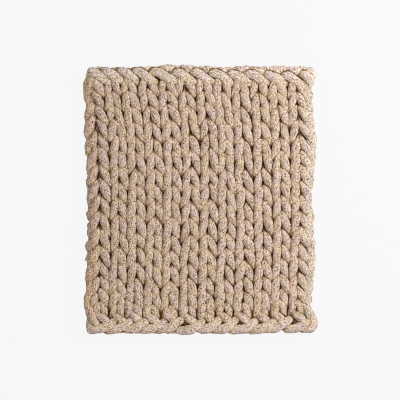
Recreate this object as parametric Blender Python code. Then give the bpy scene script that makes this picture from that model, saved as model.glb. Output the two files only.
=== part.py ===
"""Chunky hand-knit blanket, lying flat with its knit side up.

It is one cloth of one thick, soft yarn. Thirteen columns of V stitches run up it, between a
cast-on chain along the near edge and a bind-off chain along the far edge. X runs across the
columns and Y up them, and the cloth lies on z = 0. Lengths are in metres.
"""

import bisect
import math

import bmesh
import bpy
from mathutils import Vector

MM = 0.001

# Driving sizes
STITCH_PITCH = 60.4 * MM  # from one column of stitches to the next
THICKNESS = 48 * MM  # floor to the top of a stitch's leg
RIM_HEIGHT = 23 * MM  # height of the cloth's outermost line
EDGE_ROLL = 27 * MM  # width over which the face rounds down to the rim
UNDERSIDE_INSET = 15 * MM  # how far inside the rim the underside touches the floor
UNDERSIDE_GROOVE = 9 * MM  # depth of the grooves between the ridges of the underside
CORNER_RADIUS = 21 * MM

# Each leg of a V climbs from the middle of its column to the gap beside it.
LEG_RISE = 33 * MM

# Every column of stitches is cut at these fractions of its width: gap, flank, flank, middle ...
FACE_CUTS = (0.0, 0.14, 0.36, 0.5, 0.64, 0.86)
UNDERSIDE_CUTS = (0.0, 0.5)

# How far the face lies below the top of a leg, in mm, on the three lines across each stitch
LINES_ACROSS = {
    # line:     (gap, outer flank, inner flank, middle of the V)
    "notch": (22, 7, 9, 24),
    "root": (15, 4, 1, 15),
    "shoulder": (13, 0, 3, 13),
}
CUT_NAMES = (0, 1, 2, 3, 2, 1)

# The rows of the cloth from the cast-on chain up: height of the row, and where its two side
# edges lie, in mm. The edges wander because the outer stitches curl by different amounts.
ROWS = (
    # height, left, right
    (75, -375, 387),
    (43, -387, 371),
    (43, -384, 376),
    (50, -380, 378),
    (50, -377, 384),
    (50, -376, 387),
    (55, -376, 374),
    (53, -370, 376),
    (52, -376, 370),
    (53, -372, 374),
    (57, -377, 378),
    (50, -375, 381),
    (53, -376, 385),
    (52, -379, 374),
    (47, -377, 375),
    (48, -381, 371),
    (60, -373, 382),
)

# The columns of stitches from left to right. A column leans off its even place and its stitches
# sit high or low by these mm, at five stations from the near end of the cloth to the far end.
STATIONS = (-380, -192, 0, 192, 380)
COLUMNS = (
    # lean at the five stations,  rise at the five stations
    ((-2, 0, -1, -5, -6), (3, 7, 13, 3, 0)),
    ((-3, 2, 2, -1, -22), (5, 7, 13, 5, -3)),
    ((-11, 0, 1, -4, -29), (0, -2, 3, 0, 0)),
    ((-12, -2, 0, -3, -29), (-2, 3, 0, -5, 5)),
    ((-13, -9, -1, -6, -24), (-3, -10, -2, -3, -2)),
    ((-10, -10, -3, -3, -21), (0, -10, -5, 2, 0)),
    ((-11, -8, -1, -3, -20), (0, 2, -10, 7, 0)),
    ((-10, -7, 0, 0, -17), (3, -5, 2, 8, 0)),
    ((-12, -4, -4, -10, -19), (2, -3, -17, -10, -2)),
    ((-7, -1, -4, -6, -18), (-2, 3, -8, -8, -3)),
    ((-13, -1, -1, -5, -16), (3, 7, 5, -3, -7)),
    ((-11, -3, 1, -3, -13), (17, 15, 13, -2, -5)),
    ((-17, -5, -2, 2, -12), (13, 13, 13, -2, -5)),
)

# The links of the two edge chains: where each strand starts and ends, in mm from the middle of
# its column and as a share of the chain's width, counted from the rim inwards.
CAST_ON_STRANDS = (
    # start x, start share, end x, end share
    (8, 0.86, 58, 0.50),
    (4, 0.24, 60, 0.46),
)
BIND_OFF_STRANDS = ((2, 0.26, 54, 0.74),)
STRAND_RADIUS = 14.5 * MM
STRAND_GAP = 21 * MM  # how far the face drops between two strands of a chain
CAST_ON_HUMP = 0.78  # where along a column the near rim reaches furthest out
BIND_OFF_HUMP = 0.17  # and the far rim
SCALLOP = 6 * MM
CHAIN_CUTS = (0.25, 0.5, 0.75)

YARN_COLOUR = (0.55, 0.45, 0.36, 1.0)
YARN_ROUGHNESS = 0.95

ROW_COUNT = len(ROWS) - 2
COLUMN_COUNT = len(COLUMNS)
LENGTH = sum(row[0] for row in ROWS) * MM
HALF_LENGTH = LENGTH / 2
CAST_ON_WIDTH = ROWS[0][0] * MM
BIND_OFF_WIDTH = ROWS[-1][0] * MM
CHAIN_HEEL = 6 * MM  # the chains start this far outside the middles of the end stitches


def along(places, values, place):
    """The value at a place, on a smooth curve through the values at the listed places."""
    last = len(places) - 1
    if place <= places[0]:
        return values[0]
    if place >= places[last]:
        return values[last]
    low = bisect.bisect_right(places, place) - 1
    high = low + 1
    span = places[high] - places[low]
    step = (place - places[low]) / span

    def slope(index):
        before = max(index - 1, 0)
        after = min(index + 1, last)
        return (values[after] - values[before]) / (places[after] - places[before])

    rest = 1 - step
    start = values[low] * (1 + 2 * step) + span * step * slope(low)
    end = values[high] * (1 + 2 * rest) - span * rest * slope(high)
    return start * rest**2 + end * step**2


def row_starts():
    """The height in Y at which each row of the table starts, and where the last one ends."""
    heights = [-HALF_LENGTH]
    for row in ROWS:
        heights.append(heights[-1] + row[0] * MM)
    return heights


ROW_STARTS = row_starts()
ROW_MIDDLES = [(low + high) / 2 for low, high in zip(ROW_STARTS, ROW_STARTS[1:])]
STATION_PLACES = [station * MM for station in STATIONS]


def side_edge(side, y):
    """X of the left edge (side 1) or the right edge (side 2) of the cloth at a height in Y."""
    return along(ROW_MIDDLES, [row[side] * MM for row in ROWS], y)


def column_middle(column, y):
    even = (column - (COLUMN_COUNT - 1) / 2) * STITCH_PITCH
    return even + along(STATION_PLACES, COLUMNS[column][0], y) * MM


def column_rise(column, y):
    column = min(max(column, 0), COLUMN_COUNT - 1)
    return along(STATION_PLACES, COLUMNS[column][1], y) * MM


def gap_beside(column, y):
    """X of the gap to the left of a column. Column COLUMN_COUNT has the right edge there."""
    if column == 0:
        return side_edge(1, y)
    if column == COLUMN_COUNT:
        return side_edge(2, y)
    return (column_middle(column - 1, y) + column_middle(column, y)) / 2


def across(column, cut, y):
    """X of a cut through a column: cut 0 is the gap at its left and cut 0.5 its middle."""
    if column == COLUMN_COUNT:
        return side_edge(2, y)
    middle = column_middle(column, y)
    if cut <= 0.5:
        gap = gap_beside(column, y)
        return gap + (middle - gap) * cut / 0.5
    gap = gap_beside(column + 1, y)
    return middle + (gap - middle) * (cut - 0.5) / 0.5


def near_rim(cut):
    return -HALF_LENGTH + SCALLOP * (1 - math.cos(math.tau * (cut - CAST_ON_HUMP))) / 2


def far_rim(cut):
    return HALF_LENGTH - SCALLOP * (1 - math.cos(math.tau * (cut - BIND_OFF_HUMP))) / 2


def lines_up():
    """The lines of the mesh from the near rim to the far one: (row, share of its height, name)."""
    lines = [(0, 0.0, "rim")]
    lines += [(0, cut, "chain") for cut in CHAIN_CUTS]
    lines += [(0, 1.0, "chain")]
    for row in range(1, ROW_COUNT + 1):
        lines += [(row, 0.0, "notch"), (row, 1 / 3, "root"), (row, 2 / 3, "shoulder")]
    last = ROW_COUNT + 1
    lines += [(last, 0.0, "chain")]
    lines += [(last, cut, "chain") for cut in CHAIN_CUTS]
    lines += [(last, 1.0, "rim")]
    return lines


LINES = lines_up()


def line_height(line, column, cut):
    """Y of a line of the mesh at a cut through a column."""
    row, share, name = line
    from_middle = abs(cut - 0.5) / 0.5
    if row == 0:
        rim = near_rim(cut)
        return rim + (ROW_STARTS[1] - CHAIN_HEEL - rim) * share
    if row > ROW_COUNT:
        rim = far_rim(cut)
        return ROW_STARTS[row] + CHAIN_HEEL + (rim - ROW_STARTS[row] - CHAIN_HEEL) * share
    level = ROW_STARTS[row] + ROWS[row][0] * MM * share
    beside = column - 1 if cut < 0.5 else column + 1
    rise = column_rise(column, level)
    rise_at_gap = (rise + column_rise(beside, level)) / 2
    bent = level + rise + (rise_at_gap - rise + LEG_RISE) * from_middle
    # The last stitches run in under the bind-off chain, so their lines straighten out there.
    ceiling = ROW_STARTS[ROW_COUNT + 1]
    room = (ceiling - level) / (ceiling - ROW_STARTS[ROW_COUNT - 1])
    return min(bent, level + (ceiling - level) * 0.8) if room <= 1 else bent


def distance_to_strand(point, start, end):
    """How far a point in plan lies from the middle line of a straight strand."""
    run = end - start
    share = (point - start).dot(run) / run.length_squared
    return (point - start - run * min(max(share, 0), 1)).length


def chain_drop(x, y, column, row):
    """How far the face of an edge chain lies below the tops of its strands."""
    nearest = STRAND_RADIUS
    strands = CAST_ON_STRANDS if row == 0 else BIND_OFF_STRANDS
    rim = -HALF_LENGTH if row == 0 else HALF_LENGTH
    inwards = CAST_ON_WIDTH if row == 0 else -BIND_OFF_WIDTH
    for link in range(max(column - 2, 0), min(column + 2, COLUMN_COUNT)):
        middle = column_middle(link, rim)
        for start_x, start_share, end_x, end_share in strands:
            start = Vector((middle + start_x * MM, rim + inwards * start_share))
            end = Vector((middle + end_x * MM, rim + inwards * end_share))
            nearest = min(nearest, distance_to_strand(Vector((x, y)), start, end))
    return STRAND_GAP * (1 - math.sqrt(1 - (nearest / STRAND_RADIUS) ** 2))


def rounded_in(x, y, cut):
    """A point in plan, moved inside the rounded corners of the cloth."""
    side = -1 if x < 0 else 1
    end = -1 if y < 0 else 1
    edge = abs(side_edge(1 if x < 0 else 2, y))
    tip = abs(near_rim(cut) if y < 0 else far_rim(cut))
    centre = Vector((edge - CORNER_RADIUS, tip - CORNER_RADIUS))
    offset = Vector((abs(x), abs(y))) - centre
    if min(offset) <= 0:
        return x, y
    inside = centre + offset * max(offset) / offset.length
    return side * inside.x, end * inside.y


def rim_distance(x, y, cut):
    sides = min(x - side_edge(1, y), side_edge(2, y) - x)
    ends = min(y - near_rim(cut), far_rim(cut) - y)
    return max(min(sides, ends), 0)


def face_point(column_index, line_index):
    """The point of the knit side at one crossing of the mesh."""
    column, cut_index = divmod(column_index, len(FACE_CUTS))
    cut = FACE_CUTS[cut_index]
    line = LINES[line_index]
    y = line_height(line, min(column, COLUMN_COUNT - 1), cut if column < COLUMN_COUNT else 1.0)
    x = across(column, cut, y)
    if line[2] in ("rim", "chain"):
        drop = chain_drop(x, y, column, line[0])
    else:
        drop = LINES_ACROSS[line[2]][CUT_NAMES[cut_index]] * MM
    depth = min(rim_distance(x, y, cut) / EDGE_ROLL, 1)
    roundness = math.sqrt(1 - (1 - depth) ** 2)
    z = RIM_HEIGHT + (THICKNESS - drop - RIM_HEIGHT) * roundness
    x, y = rounded_in(x, y, cut)
    return Vector((x, y, z))


def underside_point(column_index, line_index):
    """The point of the purl side at one crossing of the mesh."""
    column, cut_index = divmod(column_index, len(UNDERSIDE_CUTS))
    cut = UNDERSIDE_CUTS[cut_index]
    line = LINES[line_index]
    y = line_height(line, min(column, COLUMN_COUNT - 1), cut if column < COLUMN_COUNT else 1.0)
    x = across(column, cut, y)
    left = side_edge(1, y)
    right = side_edge(2, y)
    x = left + UNDERSIDE_INSET + (x - left) * (right - left - 2 * UNDERSIDE_INSET) / (right - left)
    y *= 1 - UNDERSIDE_INSET / HALF_LENGTH
    z = UNDERSIDE_GROOVE if line[2] == "notch" and 0 < column_index < UNDERSIDE_STEPS else 0
    return Vector((x, y, z))


FACE_STEPS = COLUMN_COUNT * len(FACE_CUTS)
UNDERSIDE_STEPS = COLUMN_COUNT * len(UNDERSIDE_CUTS)
LINE_STEPS = len(LINES) - 1


def add_side(mesh, steps, place):
    """Adds a grid with its points put in place, and returns the edges along its four borders."""
    made = bmesh.ops.create_grid(mesh, x_segments=steps, y_segments=LINE_STEPS, size=0.5)
    borders = {"near": [], "far": [], "left": [], "right": []}
    index_of = {}
    for vertex in made["verts"]:
        across_index = round((vertex.co.x + 0.5) * steps)
        up_index = round((vertex.co.y + 0.5) * LINE_STEPS)
        index_of[vertex] = (across_index, up_index)
    for edge in {edge for vertex in made["verts"] for edge in vertex.link_edges if edge.is_boundary}:
        (start_x, start_y), (end_x, end_y) = (index_of[vertex] for vertex in edge.verts)
        if start_y == end_y:
            borders["near" if start_y == 0 else "far"].append(edge)
        else:
            borders["left" if start_x == 0 else "right"].append(edge)
    for vertex, (across_index, up_index) in index_of.items():
        vertex.co = place(across_index, up_index)
    return borders


def blanket_mesh():
    mesh = bmesh.new()
    face = add_side(mesh, FACE_STEPS, face_point)
    underside = add_side(mesh, UNDERSIDE_STEPS, underside_point)
    for border in face:
        bmesh.ops.bridge_loops(mesh, edges=face[border] + underside[border])
    bmesh.ops.recalc_face_normals(mesh, faces=mesh.faces)
    bmesh.ops.triangulate(mesh, faces=mesh.faces, quad_method="SHORT_EDGE")
    low = Vector([min(vertex.co[axis] for vertex in mesh.verts) for axis in range(3)])
    high = Vector([max(vertex.co[axis] for vertex in mesh.verts) for axis in range(3)])
    centre = (low + high) / 2
    bmesh.ops.translate(mesh, verts=mesh.verts, vec=(-centre.x, -centre.y, -low.z))
    data = bpy.data.meshes.new("blanket")
    mesh.to_mesh(data)
    mesh.free()
    return data


def yarn_material():
    material = bpy.data.materials.new("chenille_yarn")
    material.use_nodes = True
    shader = material.node_tree.nodes["Principled BSDF"]
    shader.inputs["Base Color"].default_value = YARN_COLOUR
    shader.inputs["Roughness"].default_value = YARN_ROUGHNESS
    shader.inputs["Metallic"].default_value = 0.0
    material.diffuse_color = YARN_COLOUR
    return material


def main():
    for thing in list(bpy.data.objects):
        bpy.data.objects.remove(thing)
    collection = bpy.data.collections.new("chunky_knit_blanket")
    bpy.context.scene.collection.children.link(collection)
    blanket = bpy.data.objects.new("blanket", blanket_mesh())
    blanket.data.materials.append(yarn_material())
    collection.objects.link(blanket)


main()
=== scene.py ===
"""Chunky hand-knit blanket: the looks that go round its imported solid.

Every stitch is a real loop of one thick, soft chenille yarn. Row by row the yarn runs behind the
cloth, comes up through the loop below, climbs one leg of a V, passes behind the next row's legs
and comes down the other leg. A chain is cast on along the near edge and bound off along the far
edge. Yarn paths are worked out in millimetres and turned into metres at the end.
"""

import bisect
import math

import bmesh
import bpy
import numpy as np
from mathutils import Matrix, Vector, kdtree


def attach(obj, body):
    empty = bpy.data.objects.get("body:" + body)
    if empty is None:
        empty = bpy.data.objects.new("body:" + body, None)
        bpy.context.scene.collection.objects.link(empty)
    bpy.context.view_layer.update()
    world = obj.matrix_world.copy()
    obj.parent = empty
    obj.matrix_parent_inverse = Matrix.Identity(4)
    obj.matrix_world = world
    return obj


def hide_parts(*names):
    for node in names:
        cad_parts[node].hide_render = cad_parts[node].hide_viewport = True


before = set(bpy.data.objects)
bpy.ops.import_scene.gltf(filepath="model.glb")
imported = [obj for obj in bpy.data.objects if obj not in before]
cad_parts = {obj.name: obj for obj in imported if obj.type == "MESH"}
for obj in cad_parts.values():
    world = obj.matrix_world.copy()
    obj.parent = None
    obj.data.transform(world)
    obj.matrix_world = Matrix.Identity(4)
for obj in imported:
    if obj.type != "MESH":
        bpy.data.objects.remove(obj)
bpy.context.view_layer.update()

MM = 0.001

# The cloth's own sizes, in mm
STITCH_PITCH = 60.4
LOOP_INSET = 23.0  # the loops stay this far inside the cast-on and bind-off rims

# The cast-on chain's row, the rows of stitches and the bind-off chain's row, near end first: how
# tall each is, and where its left and right edges are
ROWS = (
    (75, -375, 387),
    (43, -387, 371),
    (43, -384, 376),
    (50, -380, 378),
    (50, -377, 384),
    (50, -376, 387),
    (55, -376, 374),
    (53, -370, 376),
    (52, -376, 370),
    (53, -372, 374),
    (57, -377, 378),
    (50, -375, 381),
    (53, -376, 385),
    (52, -379, 374),
    (47, -377, 375),
    (48, -381, 371),
    (60, -373, 382),
)

# For each column of stitches, from left to right, how far it lies off its even place in X (lean)
# and in Y (rise) at five stations along Y
STATIONS = (-380, -192, 0, 192, 380)
COLUMNS = (
    # lean, rise
    ((-2, 0, -1, -5, -6), (3, 7, 13, 10, 8)),
    ((-3, 2, 2, -1, -22), (5, 7, 13, 8, 3)),
    ((-11, 0, 1, -4, -29), (0, -2, 3, 0, 0)),
    ((-12, -2, 0, -3, -29), (-2, 3, 0, -5, 5)),
    ((-13, -9, -1, -6, -24), (-3, -10, -2, -3, -2)),
    ((-10, -10, -3, -3, -21), (0, -10, -5, 2, 0)),
    ((-11, -8, -1, -3, -20), (0, 2, -10, 7, 0)),
    ((-10, -7, 0, 0, -17), (3, -5, 2, 8, 0)),
    ((-12, -4, -4, -10, -19), (2, -3, -17, -10, -2)),
    ((-7, -1, -4, -6, -18), (-2, 3, -8, -8, -3)),
    ((-13, -1, -1, -5, -16), (3, 7, 5, -3, -7)),
    ((-11, -3, 1, -3, -13), (17, 15, 13, -2, -5)),
    ((-17, -5, -2, 2, -12), (13, 13, 13, -2, -5)),
)
FIRST_COLUMN_LEAN = (-2, 0, -3, -13, -34)  # its stitches curl out over the left side

ROW_COUNT = len(ROWS) - 2
COLUMN_COUNT = len(COLUMNS)
HALF_LENGTH = sum(row[0] for row in ROWS) / 2


def along(places, values, place):
    """The value at a place, on a smooth curve through the values at the listed places."""
    last = len(places) - 1
    if place <= places[0]:
        return values[0]
    if place >= places[last]:
        return values[last]
    low = bisect.bisect_right(places, place) - 1
    high = low + 1
    span = places[high] - places[low]
    step = (place - places[low]) / span

    def slope(index):
        """How steeply the values rise past one of the listed places."""
        before = max(index - 1, 0)
        after = min(index + 1, last)
        return (values[after] - values[before]) / (places[after] - places[before])

    rest = 1 - step
    start = values[low] * (1 + 2 * step) + span * step * slope(low)
    end = values[high] * (1 + 2 * rest) - span * rest * slope(high)
    return start * rest**2 + end * step**2


def row_starts():
    """Where each row begins in Y, and last where the cloth ends."""
    starts = [-HALF_LENGTH]
    for row in ROWS:
        starts.append(starts[-1] + row[0])
    return starts


ROW_STARTS = row_starts()
ROW_MIDDLES = [(low + high) / 2 for low, high in zip(ROW_STARTS, ROW_STARTS[1:])]


def side_edge(side, y):
    """X of the left edge (side 1) or the right edge (side 2) of the cloth at a height in Y."""
    return along(ROW_MIDDLES, [row[side] for row in ROWS], y)


def column_middle(column, y):
    """X of the middle of a column at a height in Y."""
    even = (column - (COLUMN_COUNT - 1) / 2) * STITCH_PITCH
    return even + along(STATIONS, COLUMNS[column][0], y)


def column_rise(column, y):
    """How far the stitches of a column lie off their even place in Y."""
    return along(STATIONS, COLUMNS[column][1], y)


# One stitch, from its left sinker to its right one. x is a share of the half width of the column
# on that side, y a share of the row's height, counted from the hole in the V, z and radius are in
# mm, and the last column says how far the point may wander.
STITCH = (
    # x,    y,     z,   radius, wander
    (-1.00, -0.38, 11.0, 12.5, 0.4),
    (-0.50, -0.28, 11.5, 10.8, 0.4),
    (-0.13, 0.00, 14.5, 9.4, 0.5),
    (-0.18, 0.28, 26.0, 11.6, 1.0),
    (-0.45, 0.76, 34.0, 14.6, 1.0),
    (-0.72, 1.22, 30.0, 13.7, 1.0),
    (-0.82, 1.48, 20.0, 11.4, 0.7),
    (-0.46, 1.66, 13.0, 11.0, 0.4),
    (0.0, 1.74, 10.8, 11.0, 0.4),
    (0.42, 1.66, 13.0, 11.0, 0.4),
    (0.73, 1.48, 20.5, 11.6, 0.7),
    (0.66, 1.22, 30.5, 13.7, 1.0),
    (0.50, 0.76, 34.0, 14.4, 1.0),
    (0.28, 0.30, 28.0, 12.2, 1.0),
    (0.15, 0.02, 14.5, 9.4, 0.5),
    (0.50, -0.28, 11.5, 10.8, 0.4),
)
# The first stitches rise out of the cast-on chain, and the last loops go in under the bind-off.
CAST_ON_LOOPS = (
    # x,    y,     z,   radius, wander
    (-1.00, -0.30, 11.0, 11.0, 0.4),
    (-0.30, -0.10, 12.0, 11.0, 0.4),
    (-0.42, 0.34, 15.0, 11.4, 0.6),
    (-0.50, 0.84, 31.0, 13.0, 0.9),
    (-0.70, 1.30, 33.0, 13.4, 0.9),
    (-0.80, 1.52, 21.0, 11.6, 0.6),
    (-0.46, 1.68, 13.0, 11.0, 0.4),
    (0.0, 1.74, 10.8, 11.0, 0.4),
    (0.46, 1.68, 13.0, 11.0, 0.4),
    (0.72, 1.52, 21.0, 11.6, 0.6),
    (0.68, 1.30, 33.0, 13.4, 0.9),
    (0.54, 0.84, 31.0, 13.0, 0.9),
    (0.42, 0.34, 15.0, 11.4, 0.6),
    (0.30, -0.10, 12.0, 11.0, 0.4),
)
BIND_OFF_LOOPS = (
    # x,    y,     z,   radius, wander
    (-1.00, -0.38, 11.0, 11.0, 0.4),
    (-0.50, -0.28, 11.5, 10.6, 0.4),
    (-0.18, 0.00, 16.0, 10.4, 0.5),
    (-0.30, 0.40, 20.0, 12.0, 0.6),
    (-0.34, 0.70, 15.0, 12.0, 0.6),
    (0.0, 0.84, 12.0, 11.0, 0.4),
    (0.36, 0.70, 15.0, 12.0, 0.6),
    (0.34, 0.40, 20.0, 12.0, 0.6),
    (0.24, 0.02, 16.0, 10.4, 0.5),
    (0.50, -0.28, 11.5, 10.6, 0.4),
)

# How unevenly the yarn is knitted, in mm of x, y, z and radius
WANDER = (2.0, 2.6, 1.6, 0.6)  # each point, as far as its table lets it
LEG_HABIT = (3.0, 5.5, 2.6, 1.1)  # each leg of a V as a whole
LEG_WANDER = 1.0  # a stitch's points that wander this far are the ones on its legs
LEG_SLANT = 0.22  # the share of its slant that a leg may gain or lose
LEG_MIDDLE = 0.50  # x of the middle of an even leg
FRONT_HEIGHT = 15.0  # mm, above which a stitch's point lies in front of the cloth

# The outermost legs, which roll down over the sides. Lengths are in mm, and levels are shares of
# the row's height, as y is.
EDGE_LEG_HEIGHT = 15.0  # they come down to this height
EDGE_LEG_INSET = 13.0  # and lie this far in from the side
EDGE_LEG_MIDDLE = 0.9  # the level of the middle of such a leg
EDGE_LEG_TUCK = 5.0  # each lies up to this much further in, at random,
EDGE_LEG_BOW = 0.8  # and its ends more, by this share of it a row's height from the middle
EDGE_LEAN_LEVEL = 0.6  # above this level,
EDGE_LEG_LEAN = 9.0  # it leans in by this much a row's height
EDGE_LEG_THIN = 1.6  # it is this much thinner than the legs inside,
EDGE_LEG_FULL = 0.3  # where it is this far from its middle,
EDGE_LEG_TAPER = 6.0  # and thins by this much a row's height towards both ends
EDGE_LEG_FALL = 10.0  # it slopes down towards its upper end, which goes in under the next leg
EDGE_REACH_LEVEL = 1.1  # the legs beside it lean out over it below this level,
EDGE_REACH = 0.55  # by this many half widths of a column a row's height
SIDE_ROLL = 20.0  # the cloth starts to roll this far in from the outermost legs
HIDDEN_LEG_ROOM = 14.0  # an outermost leg with less room than this goes in under the cloth,
HIDDEN_LEG_INSET = 8.0  # this much further in,
HIDDEN_LEG_SIZE = 10.5  # and is this thick, and no higher
ROW_END_HEIGHT = 11.0  # mm, where a row's yarn ends, turned in at the right side
ROW_END_RADIUS = 10.5

# The strand of yarn itself, in mm
YARN_STEP = 3.3  # between the rings of its mesh
YARN_SIDES = 20
CURVE_STEPS = 16  # from one key point to the next, before the curve is cut evenly
BEHIND_HEIGHT = 14.0  # a strand at this height is behind the cloth, and at twice it in front
BEHIND_SHAPE = (1.6, 1.95, 0.94)  # how far a strand behind is pressed wide in x and y, flat in z
FRONT_DEPTH = 0.45  # a strand in front is deeper by this share, on the half that faces down
FLAT_BELOW = 3.0  # the yarn's own weight presses it flat on the floor from this height down
TUFT_HEIGHT = 0.6  # how far a usual tuft of pile stands out
TUFT_LIMIT = 2  # and the tallest, as so many usual ones
TUFT_BLEND = 0.35  # how much a tuft takes after those beside it

# One link of the bind-off chain, in mm from the middle of its column and from the rim inwards
BIND_OFF_LINK = (
    # x,  in,   z,   radius, wander
    (-6, 30, 14.0, 10.0, 0.4),
    (-3, 18, 26.0, 13.8, 0.6),
    (13, 20, 33.0, 16.0, 1.0),
    (35, 33, 34.0, 16.6, 1.0),
    (56, 47, 30.5, 14.6, 0.8),
    (68, 47, 18.0, 11.2, 0.5),
    (68, 30, 12.0, 10.4, 0.4),
    (58, 16, 18.0, 12.6, 0.6),
    (39, 13, 22.0, 13.2, 0.8),
    (18, 16, 18.0, 12.0, 0.6),
    (4, 28, 11.0, 10.2, 0.4),
    (28, 31, 10.5, 10.2, 0.4),
)
# How far each bind-off link's strand starts and ends from its even place, how far it has slid
# down in front of the cloth, and how far its hump behind lies in from the rim, left to right
BIND_OFF_SHIFTS = (
    # start, end, down, hump
    (2, -4, 0, 12), (8, -4, 0, 10), (8, 0, 0, 10), (-2, 0, 2, 6), (-12, 6, 3, 1), (2, 4, 5, 0),
    (2, 2, 6, 7), (-2, 0, 7, 8), (0, 0, 7, 2), (-6, -4, 10, 4), (0, -4, 10, 4), (-6, -8, 12, 3),
    (-8, -20, 10, 8),
)
# The yarn's first turns, down the left side below the bind-off chain, and its last turn, up the
# left side from the cast-on chain: in mm from the left side and from the rim inwards
BIND_OFF_START = (
    # x,  in,   z,   radius, wander
    (13, 98, 11.0, 10.4, 0.3),
    (13, 84, 18.0, 12.4, 0.5),
    (14, 66, 27.0, 14.2, 0.6),
    (19, 46, 27.0, 13.6, 0.6),
    (22, 32, 18.0, 12.0, 0.4),
)
CAST_ON_END = (
    # x,  in,   z,   radius, wander
    (42, 20, 14.0, 11.0, 0.4),
    (34, 31, 27.0, 13.4, 0.5),
    (22, 62, 34.0, 14.6, 0.8),
    (13, 96, 30.0, 14.0, 0.8),
    (13, 124, 16.0, 11.4, 0.4),
)
# A link of the cast-on chain
CAST_ON_LINK = (
    # x,  in,   z,   radius, wander
    (60, 33, 14.0, 11.0, 0.4),
    (53, 39, 26.0, 12.4, 0.6),
    (41, 49, 36.0, 13.4, 1.2),
    (26, 61, 34.0, 12.8, 1.2),
    (15, 69, 20.0, 11.0, 0.6),
    (4, 58, 12.0, 10.4, 0.4),
    (-7, 42, 11.0, 10.4, 0.4),
    (-9, 27, 16.0, 11.8, 0.6),
    (0, 16, 25.0, 14.2, 1.0),
    (18, 15, 32.0, 15.8, 1.2),
    (40, 22, 34.5, 16.2, 1.4),
    (61, 34, 34.0, 15.4, 1.4),
    (76, 46, 27.0, 13.2, 1.0),
    (84, 54, 16.0, 11.0, 0.4),
    (62, 47, 17.0, 12.4, 0.4),
    (28, 38, 20.0, 12.6, 0.4),
)


# How far a link may sit off its place, in mm along the rim and inwards from it
BIND_OFF_HABIT = (2.0, 1.5)
CAST_ON_HABIT = (5.0, 3.5)
LINK_LENGTH = 60  # mm along the rim
LINK_FRONT_HEIGHT = 24  # mm, above which a bind-off link's point is on its front strand


def wander(random):
    """A small offset in x, y, z and radius."""
    return np.array([random.uniform(-1, 1) * size for size in WANDER])


def leg_habit(random):
    """How one whole leg of a stitch sits off its even place, in x, y, z and radius."""
    return np.array([random.uniform(-1, 1) * size for size in LEG_HABIT])


def stitch_middle(column, y):
    """Where the stitches of a column are centred. The first column curls out over the left side."""
    if column:
        return column_middle(column, y)
    return STITCH_PITCH * (1 - COLUMN_COUNT) / 2 + along(STATIONS, FIRST_COLUMN_LEAN, y)


def inside_sides(x, y):
    """X, kept in as far as the outermost legs lie from the sides."""
    left = side_edge(1, y) + EDGE_LEG_INSET
    right = side_edge(2, y) - EDGE_LEG_INSET
    return min(max(x, left), right)


def rolled_down(x, y, z):
    """The height of a strand near the sides, where the cloth rolls down to the floor."""
    room = min(x - side_edge(1, y), side_edge(2, y) - x) - EDGE_LEG_INSET
    share = min(max(room / SIDE_ROLL, 0), 1)
    roundness = math.sqrt(1 - (1 - share) ** 2)
    return min(z, EDGE_LEG_HEIGHT + (z - EDGE_LEG_HEIGHT) * roundness)


def edge_point(column, x, y, z, radius, level, middle, bulge):
    """X, height and radius of a point on the outer side of an outermost stitch."""
    side, outwards = (1, -1) if column == 0 else (2, 1)
    rim = side_edge(side, level) - outwards * EDGE_LEG_INSET
    room = (rim - middle) * outwards + EDGE_LEG_INSET
    place = middle + (rim - middle) * abs(x)
    if z > FRONT_HEIGHT and x:
        from_middle = abs(y - EDGE_LEG_MIDDLE)
        lean = EDGE_LEG_LEAN * max(y - EDGE_LEAN_LEVEL, 0)
        place = rim - outwards * (lean + EDGE_LEG_TUCK * (EDGE_LEG_BOW * from_middle + bulge))
        radius -= EDGE_LEG_THIN + EDGE_LEG_TAPER * (from_middle - EDGE_LEG_FULL)
    if room < HIDDEN_LEG_ROOM and x:
        place = rim - outwards * HIDDEN_LEG_INSET
        z = min(z, HIDDEN_LEG_SIZE)
        radius = HIDDEN_LEG_SIZE
    return place, z, radius


def stitch_points(table, column, start, height, random):
    """The key points (x, y, z, radius) of one stitch, in a row that starts at the given Y and has
    the given height."""
    points = []
    habits = {-1: leg_habit(random), 1: leg_habit(random)}
    slants = {side: random.uniform(-1, 1) * LEG_SLANT for side in habits}
    bulge = random.uniform(0, 1)
    for x, y, z, radius, loose in table:
        on_leg = loose == LEG_WANDER
        if on_leg and x:
            side = 1 if x > 0 else -1
            x += (x - side * LEG_MIDDLE) * slants[side]
        level = start + height * y
        middle = stitch_middle(column, level)
        rise = column_rise(column, level)
        beside = column + (1 if x > 0 else -1)
        reach = EDGE_REACH * max(EDGE_REACH_LEVEL - y, 0)
        if on_leg and column == 0 and x > 0:
            x -= reach
        if on_leg and column == COLUMN_COUNT - 1 and x < 0:
            x += reach
        fall = 0
        if 0 <= beside < COLUMN_COUNT:
            half = abs(stitch_middle(beside, level) - middle) / 2
            rise += (column_rise(beside, level) - rise) * abs(x) / 2
            place = middle + half * x
        else:
            place, z, radius = edge_point(column, x, y, z, radius, level + rise, middle, bulge)
            if z > FRONT_HEIGHT:
                fall = EDGE_LEG_FALL * (EDGE_LEG_MIDDLE - y)
        place = inside_sides(place, level + rise)
        z_here = rolled_down(place, level + rise, z) + fall
        y_here = min(max(level + rise, LOOP_INSET - HALF_LENGTH), HALF_LENGTH - LOOP_INSET)
        point = np.array([place, y_here, z_here, radius])
        point += habits[1 if x > 0 else -1] * loose**2
        points.append(point + wander(random) * loose)
    return points


def row_points(table, start, height, random):
    """Key points of one whole row of yarn, from left to right."""
    points = []
    for column in range(COLUMN_COUNT):
        points += stitch_points(table, column, start, height, random)
    last = start + table[0][1] * height
    right = side_edge(2, last) - EDGE_LEG_INSET
    points.append(np.array([right, last, ROW_END_HEIGHT, ROW_END_RADIUS]))
    return points


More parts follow.
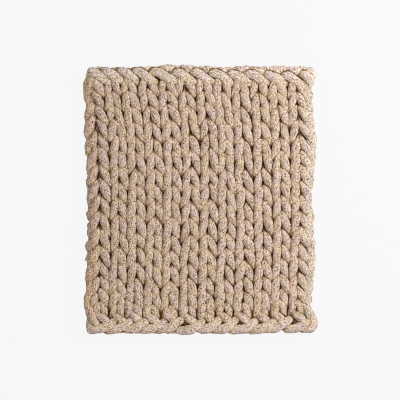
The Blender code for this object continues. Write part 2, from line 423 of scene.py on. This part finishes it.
def bind_off_shifted(column, x, depth, z):
    """A point of a bind-off link, shifted along the rim and inwards as its own link is."""
    start, end, down, hump = BIND_OFF_SHIFTS[column]
    x += start + (end - start) * min(max(x / LINK_LENGTH, 0), 1)
    if z > LINK_FRONT_HEIGHT:
        depth += down
    elif x > 0:
        depth += hump
    return x, depth


def chain_points(link, near, columns, random):
    """Key points of a whole edge chain, link by link, on the near or the far rim."""
    rim = -HALF_LENGTH if near else HALF_LENGTH
    inwards = 1 if near else -1
    sideways, in_and_out = CAST_ON_HABIT if near else BIND_OFF_HABIT
    spots = []
    for column in columns:
        middle = column_middle(column, rim) + random.uniform(-1, 1) * sideways
        level = random.uniform(-1, 1) * in_and_out
        for x, depth, z, radius, loose in link:
            if not near:
                x, depth = bind_off_shifted(column, x, depth, z)
            spots.append((middle + x, depth + level * min(loose, 1), z, radius, loose))
    turn = [(side_edge(1, rim + inwards * depth) + x, depth, z, radius, loose)
            for x, depth, z, radius, loose in (CAST_ON_END if near else BIND_OFF_START)]
    points = []
    for x, depth, z, radius, loose in spots + turn if near else turn + spots:
        y = rim + inwards * depth
        points.append(np.array([inside_sides(x, y), y, z, radius]) + wander(random) * loose)
    return points


def smooth_line(points):
    """The key points joined by a smooth curve and cut into even steps, and how far along the yarn
    each step is."""
    keys = np.array(points)
    keys = np.vstack([2 * keys[0] - keys[1], keys, 2 * keys[-1] - keys[-2]])
    t = np.arange(CURVE_STEPS)[:, None] / CURVE_STEPS
    fine = []
    for a, b, c, d in zip(keys, keys[1:], keys[2:], keys[3:]):
        fine.append(
            0.5 * (2 * b + (c - a) * t + (2 * a - 5 * b + 4 * c - d) * t**2
                   + (3 * b - a - 3 * c + d) * t**3)
        )
    fine.append(keys[-2][None])
    fine = np.vstack(fine)
    steps = np.linalg.norm(np.diff(fine[:, :3], axis=0), axis=1)
    lengths = np.concatenate([[0], np.cumsum(steps)])
    places = np.linspace(0, lengths[-1], int(lengths[-1] / YARN_STEP))
    return np.stack([np.interp(places, lengths, fine[:, k]) for k in range(4)], axis=1), places


def tube_mesh(name, line):
    """A tube of yarn swept along the line, open at both ends: a ring of vertices for each step."""
    curve = bpy.data.curves.new(name, "CURVE")
    curve.dimensions = "3D"
    curve.bevel_depth = MM
    curve.bevel_resolution = YARN_SIDES // 2 - 2
    curve.twist_mode = "MINIMUM"
    spline = curve.splines.new("POLY")
    spline.points.add(len(line) - 1)
    spots = np.ones((len(line), 4), np.float32)
    spots[:, :3] = line[:, :3] * MM
    spline.points.foreach_set("co", spots.ravel())
    spline.points.foreach_set("radius", line[:, 3].astype(np.float32))
    guide = bpy.data.objects.new(name + "_line", curve)
    bpy.context.scene.collection.objects.link(guide)
    bpy.context.view_layer.update()
    graph = bpy.context.evaluated_depsgraph_get()
    mesh = bpy.data.meshes.new_from_object(guide.evaluated_get(graph))
    bpy.data.objects.remove(guide)
    return mesh


def vertex_rows(mesh, kind):
    """The places ("co") or the normals ("normal") of the mesh's vertices, a row for each."""
    values = np.empty(len(mesh.vertices) * 3, np.float32)
    mesh.vertices.foreach_get(kind, values)
    return values.reshape(-1, 3)


def tufts_of_pile(rings):
    """How far the pile stands out at each point of a strand, in mm: small uneven tufts. The
    number of rings is the seed, so that each strand has its own."""
    heights = np.random.RandomState(rings).normal(size=(rings, YARN_SIDES))
    for axis in (0, 1):
        beside = np.roll(heights, 1, axis) + np.roll(heights, -1, axis)
        heights = heights + beside * TUFT_BLEND
    return np.clip(heights / heights.std(), -TUFT_LIMIT, TUFT_LIMIT) * TUFT_HEIGHT


def shape_yarn(mesh, line):
    """Gives the tube of yarn its tufts, squeezes it and presses it flat on the floor."""
    centres = np.repeat(line[:, :3], YARN_SIDES, axis=0)
    offsets = vertex_rows(mesh, "co") / MM - centres
    tufts = tufts_of_pile(len(line)).ravel() / np.repeat(line[:, 3], YARN_SIDES)
    offsets *= 1 + tufts[:, None]
    raised = np.clip((centres[:, 2] - BEHIND_HEIGHT) / BEHIND_HEIGHT, 0, 1)
    for axis, pressed in enumerate(BEHIND_SHAPE):
        offsets[:, axis] *= pressed + (1 - pressed) * raised
    below = offsets[:, 2] < 0
    offsets[below, 2] *= (1 + FRONT_DEPTH * raised)[below]
    spots = centres + offsets
    low = spots[:, 2] < FLAT_BELOW
    spots[low, 2] = FLAT_BELOW * np.exp(spots[low, 2] / FLAT_BELOW - 1)
    mesh.vertices.foreach_set("co", (spots * MM).astype(np.float32).ravel())
    mesh.update()


def mark_places(mesh, line, places):
    """Keeps, for the pile, where each point lies along and round the yarn."""
    angle = np.tile(np.arange(YARN_SIDES) * math.tau / YARN_SIDES, len(line))
    radius = np.repeat(line[:, 3], YARN_SIDES)
    place = [np.repeat(places, YARN_SIDES), radius * np.cos(angle), radius * np.sin(angle)]
    kept = mesh.attributes.new("yarn_place", "FLOAT_VECTOR", "POINT")
    kept.data.foreach_set("vector", (np.stack(place, axis=1) * MM).astype(np.float32).ravel())


def close_ends(mesh):
    """Closes the two ends of the tube."""
    joined = bmesh.new()
    joined.from_mesh(mesh)
    ends = [edge for edge in joined.edges if edge.is_boundary]
    bmesh.ops.holes_fill(joined, edges=ends, sides=0)
    joined.to_mesh(mesh)
    joined.free()


def make_yarn(name, points, material):
    """One piece of yarn through the key points. Returns it and the line that it follows."""
    line, places = smooth_line(points)
    mesh = tube_mesh(name, line)
    shape_yarn(mesh, line)
    mark_places(mesh, line, places)
    close_ends(mesh)
    piece = bpy.data.objects.new(name, mesh)
    bpy.context.scene.collection.objects.link(piece)
    mesh.name = name
    mesh.materials.clear()
    mesh.materials.append(material)
    mesh.polygons.foreach_set("use_smooth", [True] * len(mesh.polygons))
    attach(piece, "root")
    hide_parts("blanket")
    return piece, line


PILE_REACH = 2.0  # mm that the pile stands out
NOOK_SEARCH = 50.0  # mm from a strand's middle within which other strands are looked for
NOOK_REACH = 12.0  # mm from the pile's tips within which the next strand shades it
OWN_STRAND = 14  # rings of the same yarn on each side that don't count as the next strand
HOLLOW_TOP = 43.0  # mm above the floor, from where painted shade darkens the holes between the stitches
HOLLOW_DEPTH = 14.0  # mm below that, where they are darkest
HOLLOW_GAIN, HOLLOW_LOSS = 3, 1.2  # a hole has to be a nook too, times the one, less the other
FACING_GAIN = 4  # and the undersides of strands are no holes: times how far they face up, plus 1


def nearness(tips, line, first, lines, tree):
    """How near each tip of pile on a strand is to the next strand: 1 where they touch."""
    shares = np.zeros((len(line), YARN_SIDES), np.float32)
    for index, ring in enumerate(tips):
        close = [found for _, found, _ in tree.find_range(line[index, :3], NOOK_SEARCH)
                 if abs(found - first - index) > OWN_STRAND]
        if close:
            others = lines[close]
            gaps = np.linalg.norm(ring[:, None] - others[None, :, :3], axis=2) - others[:, 3]
            shares[index] = 1 - gaps.min(axis=1) / NOOK_REACH
    return shares.ravel()


def shade_nooks(yarns):
    """Marks the nooks between strands and the holes between stitches on every piece of yarn, for
    the material's painted shade.
    """
    lines = np.vstack([line for _, line in yarns])
    tree = kdtree.KDTree(len(lines))
    for index, spot in enumerate(lines):
        tree.insert(spot[:3], index)
    tree.balance()
    first = 0
    for piece, line in yarns:
        spots = vertex_rows(piece.data, "co") / MM
        normals = vertex_rows(piece.data, "normal")
        tips = (spots + normals * PILE_REACH).reshape(len(line), YARN_SIDES, 3)
        nooks = nearness(tips, line, first, lines, tree)
        tops = [rolled_down(x, y, HOLLOW_TOP) for x, y in line[:, :2]]
        depth = (np.repeat(tops, YARN_SIDES) - spots[:, 2]) / HOLLOW_DEPTH
        hollows = np.clip(depth, 0, 1) * np.clip(nooks * HOLLOW_GAIN - HOLLOW_LOSS, 0, 1)
        hollows = hollows * np.clip(normals[:, 2] * FACING_GAIN + 1, 0, 1)
        for name, values in (("nook", nooks), ("hollow", hollows)):
            kept = piece.data.attributes.new(name, "FLOAT", "POINT")
            kept.data.foreach_set("value", values.astype(np.float32))
        first += len(line)


# The sizes of the pile's patterns, in metres
TUFT = 6.5 * MM
PIT_SPACING = 5.3 * MM
GLINT_SPACING = 5.0 * MM
SPECK = 3.7 * MM
BLOTCH = 36.0 * MM
SHADE_PATCH = 16.0 * MM

# The colours of the pile, and what they are multiplied by. The flank tint paints light, the pit,
# nook and hollow tints paint shade, and the glint is a painted highlight.
PILE_PINK = (0.616, 0.496, 0.473, 1)
PILE_CREAM = (0.610, 0.504, 0.408, 1)
GLINT = (0.78, 0.69, 0.63, 1)
SPECK_SHADE = (0.66, 0.57, 0.45, 1)
SPECK_LIGHT = (1.16, 1.13, 1.08, 1)
FLANK_LIGHT_TINT = (1.10, 1.075, 0.98, 1)
PIT_SHADE_TINT = (0.29, 0.185, 0.10, 1)
NOOK_SHADE_TINT = (0.30, 0.20, 0.085, 1)
HOLLOW_SHADE_TINT = (0.24, 0.12, 0.03, 1)

# Painted light: out along the right, far and near rims the colour is made paler, as if lit. Painted
# shade: along the left side it is made browner. Places are in metres.
RIM_LIGHT_AND_SHADE = (
    # axis, side, from, to, tint
    ("X", 1, 0.335, 0.365, (1.01, 1.10, 1.24, 1)),
    ("X", -1, 0.335, 0.375, (1.04, 0.97, 0.90, 1)),
    ("Y", 1, 0.380, 0.410, (1.14, 1.21, 1.28, 1)),
    ("Y", -1, 0.380, 0.410, (1.13, 1.17, 1.19, 1)),
)

# How a value is eased: where it starts, where it ends, and what comes out at the one and the other
CREAM_SHADE_IN_NOOKS = (-0.4, 0.7, 0.05, 0.65)
CREAM_IN_BLOTCHES = (0.35, 0.65, -0.6, 0.75)
SPECKS = (0.34, 0.66, 0.0, 1.0)
LIGHT_ON_FLANKS = (-0.5, 0.6, 0.0, 1.0)
SHADE_IN_NOOKS = (0.84, 1.10, 0.0, 1.0)
SHADE_BROKEN = (0.35, 0.60, 0.45, 1.0)
HOLLOWS = (0.0, 1.0, 0.0, 1.0)
PILE_LEAN = (-0.5, 0.0, -1.0, 1.0)  # the pile leans down on undersides, and up elsewhere

# Round spots: how wide, by which colour channel of their cells they are picked, and from where
# to where in it they grow strong
SPOT_CORE = 0.55  # the share of a spot's width that is at full strength
GLINTS = (0.36, 1, 0.55, 1.0)
PITS = (0.46, 0, 0.22, 0.75)

TUFT_DOME = -0.6  # how the relief changes from the middle of a tuft outwards
RELIEF = 2.2 * MM  # its height
FLAT_PILE = 0.52  # the pile stands every way, so a strand catches the light almost evenly
PILE_FINISH = {
    "Roughness": 1.0,
    "Specular IOR Level": 0.06,
    "Sheen Weight": 0.06,
    "Sheen Roughness": 0.6,
    "Sheen Tint": (1.0, 0.93, 0.85, 1),
}


class Recipe:
    """One material, and short ways to add nodes to it and join them."""

    def __init__(self, name):
        """A new material of this name, with its shader ready."""
        self.material = bpy.data.materials.new(name)
        self.material.use_nodes = True
        self.shader = self.material.node_tree.nodes["Principled BSDF"]

    def add(self, kind, **settings):
        """A new node. Each setting is one of its inputs or one of its own choices."""
        node = self.material.node_tree.nodes.new("ShaderNode" + kind)
        for name, value in settings.items():
            if name in node.inputs:
                node.inputs[name].default_value = value
            else:
                setattr(node, name, value)
        return node

    def join(self, value, socket):
        """Joins an output to the socket, or sets the socket to a plain value."""
        if isinstance(value, bpy.types.NodeSocket):
            self.material.node_tree.links.new(value, socket)
        else:
            socket.default_value = value

    def attribute(self, name, output="Fac"):
        """What was marked on the points of the yarn under a name."""
        return self.add("Attribute", attribute_name=name).outputs[output]

    def cells(self, size, place):
        """Cells of a size, as a node."""
        node = self.add("TexVoronoi", feature="F1", Scale=1 / size)
        self.join(place, node.inputs["Vector"])
        return node

    def cloudy(self, size, place):
        """Soft uneven clouds of a size."""
        node = self.add("TexNoise", Scale=1 / size, Detail=1.0)
        self.join(place, node.inputs["Vector"])
        return node.outputs["Fac"]

    def soften(self, value, *ease):
        """A value eased: where it starts and ends, and what comes out at the one and the other."""
        node = self.add("MapRange", interpolation_type="SMOOTHSTEP")
        for socket, number in zip(node.inputs, (value, *ease)):
            self.join(number, socket)
        return node.outputs[0]

    def worked_out(self, operation, *values, **settings):
        """The result of a sum, such as ADD or MULTIPLY."""
        node = self.add("Math", operation=operation, **settings)
        for socket, value in zip(node.inputs, values):
            self.join(value, socket)
        return node.outputs[0]

    def mixed(self, kind, share, first, second):
        """Two colours mixed or multiplied."""
        node = self.add("Mix", data_type="RGBA", blend_type=kind)
        for index, value in ((0, share), (6, first), (7, second)):
            self.join(value, node.inputs[index])
        return node.outputs[2]

    def spots(self, cells, wide, channel, rare, common):
        """Round spots in the middles of the cells. Their strength varies from cell to cell."""
        chance = self.add("SeparateColor")
        self.join(cells.outputs["Color"], chance.inputs[0])
        near = self.soften(cells.outputs["Distance"], wide * SPOT_CORE, wide, 1.0, 0.0)
        kept = self.soften(chance.outputs[channel], rare, common, 0.0, 1.0)
        return self.worked_out("MULTIPLY", near, kept)


def pile_colour(pile, place, specks):
    """Pink and cream pile with specks, painted pale glints, painted shade in its pits, painted
    light on its flanks, and painted brown shade in its nooks and holes.
    """
    nook = pile.attribute("nook")
    glints = pile.spots(pile.cells(GLINT_SPACING, place), *GLINTS)
    pits = pile.spots(pile.cells(PIT_SPACING, place), *PITS)
    # Partly painted shade: in the nooks the pile turns cream as painted shade; in the blotches it
    # turns cream as the yarn's own uneven tone.
    cream = pile.worked_out(
        "ADD",
        pile.soften(nook, *CREAM_SHADE_IN_NOOKS),
        pile.soften(pile.cloudy(BLOTCH, place), *CREAM_IN_BLOTCHES),
        use_clamp=True,
    )
    colour = pile.mixed("MIX", cream, PILE_PINK, PILE_CREAM)
    grain = pile.mixed("MIX", pile.soften(specks, *SPECKS), SPECK_SHADE, SPECK_LIGHT)
    colour = pile.mixed("MULTIPLY", 1.0, colour, grain)
    # Painted light: on the strands' flanks, where the next strand is near, the colour is lifted and
    # made yellower.
    colour = pile.mixed("MULTIPLY", pile.soften(nook, *LIGHT_ON_FLANKS), colour, FLANK_LIGHT_TINT)
    colour = pile.mixed("MIX", glints, colour, GLINT)
    # Painted shade: dark brown spots in the pits between the tufts.
    colour = pile.mixed("MULTIPLY", pits, colour, PIT_SHADE_TINT)
    # Painted shade: the nooks where two strands press together are darkened and browned, in
    # patches.
    nook_shade = pile.worked_out(
        "MULTIPLY",
        pile.soften(nook, *SHADE_IN_NOOKS),
        pile.soften(pile.cloudy(SHADE_PATCH, place), *SHADE_BROKEN),
    )
    colour = pile.mixed("MULTIPLY", nook_shade, colour, NOOK_SHADE_TINT)
    # Painted shade: the holes between the stitches are darkened to a deep brown.
    hollow = pile.soften(pile.attribute("hollow"), *HOLLOWS)
    return pile.mixed("MULTIPLY", hollow, colour, HOLLOW_SHADE_TINT)


def rim_lit_and_shaded(pile, colour):
    """The colour with painted light along the right, far and near rims and painted shade along the
    left side.
    """
    axes = pile.add("SeparateXYZ")
    pile.join(pile.add("TexCoord").outputs["Object"], axes.inputs[0])
    rim = (1, 1, 1, 1)
    for axis, side, near, far, tint in RIM_LIGHT_AND_SHADE:
        share = pile.soften(axes.outputs[axis], side * near, side * far, 0.0, 1.0)
        rim = pile.mixed("MIX", share, rim, tint)
    return pile.mixed("MULTIPLY", 1.0, colour, rim)


def pile_normal(pile, place, specks):
    """Domed tufts and specks of relief, on a surface that leans up, or down where it faces down."""
    surface = pile.add("NewGeometry").outputs["Normal"]
    facing = pile.add("SeparateXYZ")
    pile.join(surface, facing.inputs[0])
    lean = pile.add("CombineXYZ")
    pile.join(pile.soften(facing.outputs["Z"], *PILE_LEAN), lean.inputs["Z"])
    even = pile.add("Mix", data_type="VECTOR")
    for index, value in ((0, FLAT_PILE), (4, surface), (5, lean.outputs[0])):
        pile.join(value, even.inputs[index])
    tufts = pile.cells(TUFT, place).outputs["Distance"]
    bump = pile.add("Bump", Strength=1.0, Distance=RELIEF)
    pile.join(pile.worked_out("MULTIPLY_ADD", tufts, TUFT_DOME, specks), bump.inputs["Height"])
    pile.join(even.outputs[1], bump.inputs["Normal"])
    return bump.outputs["Normal"]


def chenille_material():
    """Matte chenille: short pile in small tufts, with painted shade in the pits between them, and
    painted shade, darker and browner, down in the nooks where two strands press together."""
    pile = Recipe("chenille_yarn")
    place = pile.attribute("yarn_place", "Vector")
    specks = pile.cloudy(SPECK, place)
    colour = rim_lit_and_shaded(pile, pile_colour(pile, place, specks))
    pile.join(colour, pile.shader.inputs["Base Color"])
    pile.join(pile_normal(pile, place, specks), pile.shader.inputs["Normal"])
    for name, value in PILE_FINISH.items():
        pile.shader.inputs[name].default_value = value
    return pile.material


# The camera looks straight down, from far off. Distances are in metres.
CAMERA_HEIGHT = 8.0
CAMERA_SENSOR = 36.0  # mm
CAMERA_REACH = 100.0
FRAME_PIXELS = 400
PIXEL = 3.335 * MM  # what one pixel of the frame covers, at the height that follows
PIXEL_HEIGHT = 0.023
CAMERA_SHIFT = -0.15  # pixels to the right of the cloth's middle

# Plain soft studio light, and a pale floor
FLOOR_HALF_SIZE = 30.0
FLOOR_COLOUR = (0.02, 0.02, 0.02, 1)
FLOOR_ROUGHNESS = 0.9
FLOOR_GLOW = 0.896  # an even white, so that the floor stays as pale beside the cloth
SKY_COLOUR = (1.0, 0.985, 0.96, 1)
SKY_STRENGTH = 0.62
LAMP_COLOUR = (0.95, 0.98, 1.05)
LAMPS = (
    # name, place, size, power in watts
    ("key", (2.1, 0.8, 1.7), 1.2, 66.0),
    ("fill", (0.6, -0.6, 3.6), 2.0, 6.0),
)
PIXEL_FILTER = 0.9  # pixels

# The loops held in the two edge chains, in mm, and the seeds of the strands that aren't rows
CAST_ON_LOOP_HEIGHT = 45
BIND_OFF_LOOP_HEIGHT = 50
CAST_ON_LOOP_SEED = 30
BIND_OFF_LOOP_SEED = 31
CAST_ON_SEED = 20
BIND_OFF_SEED = 21


def make_camera():
    """The camera, straight above the cloth."""
    camera = bpy.data.cameras.new("camera")
    camera.sensor_width = CAMERA_SENSOR
    frame_width = FRAME_PIXELS * PIXEL
    camera.lens = camera.sensor_width * (CAMERA_HEIGHT - PIXEL_HEIGHT) / frame_width
    camera.clip_end = CAMERA_REACH
    holder = bpy.data.objects.new("camera", camera)
    holder.location = (CAMERA_SHIFT * PIXEL, 0.0, CAMERA_HEIGHT)
    bpy.context.scene.collection.objects.link(holder)
    bpy.context.scene.camera = holder


def make_floor():
    """The pale floor that the blanket lies on."""
    mesh = bpy.data.meshes.new("floor")
    grid = bmesh.new()
    bmesh.ops.create_grid(grid, x_segments=1, y_segments=1, size=FLOOR_HALF_SIZE)
    grid.to_mesh(mesh)
    grid.free()
    floor = bpy.data.objects.new("floor", mesh)
    bpy.context.scene.collection.objects.link(floor)
    paint = Recipe("floor_paint")
    paint.shader.inputs["Base Color"].default_value = FLOOR_COLOUR
    paint.shader.inputs["Roughness"].default_value = FLOOR_ROUGHNESS
    paint.shader.inputs["Emission Color"].default_value = (1, 1, 1, 1)
    paint.shader.inputs["Emission Strength"].default_value = FLOOR_GLOW
    mesh.materials.append(paint.material)


def make_lights():
    """Light from all round, and two soft lamps turned to the cloth's middle."""
    world = bpy.data.worlds.new("studio")
    bpy.context.scene.world = world
    world.use_nodes = True
    sky = world.node_tree.nodes["Background"]
    sky.inputs["Color"].default_value = SKY_COLOUR
    sky.inputs["Strength"].default_value = SKY_STRENGTH
    for name, place, size, power in LAMPS:
        light = bpy.data.lights.new(name, "AREA")
        light.size = size
        light.energy = power
        light.color = LAMP_COLOUR
        lamp = bpy.data.objects.new(name, light)
        lamp.location = place
        lamp.rotation_mode = "QUATERNION"
        lamp.rotation_quaternion = (-Vector(place)).to_track_quat("-Z", "Y")
        bpy.context.scene.collection.objects.link(lamp)


def knit():
    """The name and the key points of every strand: the rows, the loops and the edge chains."""
    seeded = np.random.RandomState
    for row in range(1, ROW_COUNT + 1):
        yield f"row_{row:02d}", row_points(STITCH, ROW_STARTS[row], ROWS[row][0], seeded(row))
    yield "cast_on_loops", row_points(
        CAST_ON_LOOPS, ROW_STARTS[1] - CAST_ON_LOOP_HEIGHT, CAST_ON_LOOP_HEIGHT,
        seeded(CAST_ON_LOOP_SEED))
    yield "bind_off_loops", row_points(
        BIND_OFF_LOOPS, ROW_STARTS[-2], BIND_OFF_LOOP_HEIGHT, seeded(BIND_OFF_LOOP_SEED))
    from_left = range(COLUMN_COUNT)
    yield "cast_on_edge", chain_points(
        CAST_ON_LINK, True, reversed(from_left), seeded(CAST_ON_SEED))
    yield "bind_off_edge", chain_points(BIND_OFF_LINK, False, from_left, seeded(BIND_OFF_SEED))


def main():
    """Makes the yarn, marks its nooks, and sets up the camera and the studio."""
    bpy.context.scene.view_settings.view_transform = "Standard"
    bpy.context.scene.cycles.filter_width = PIXEL_FILTER
    chenille = chenille_material()
    yarns = [make_yarn(name, points, chenille) for name, points in knit()]
    shade_nooks(yarns)
    make_camera()
    make_floor()
    make_lights()


main()
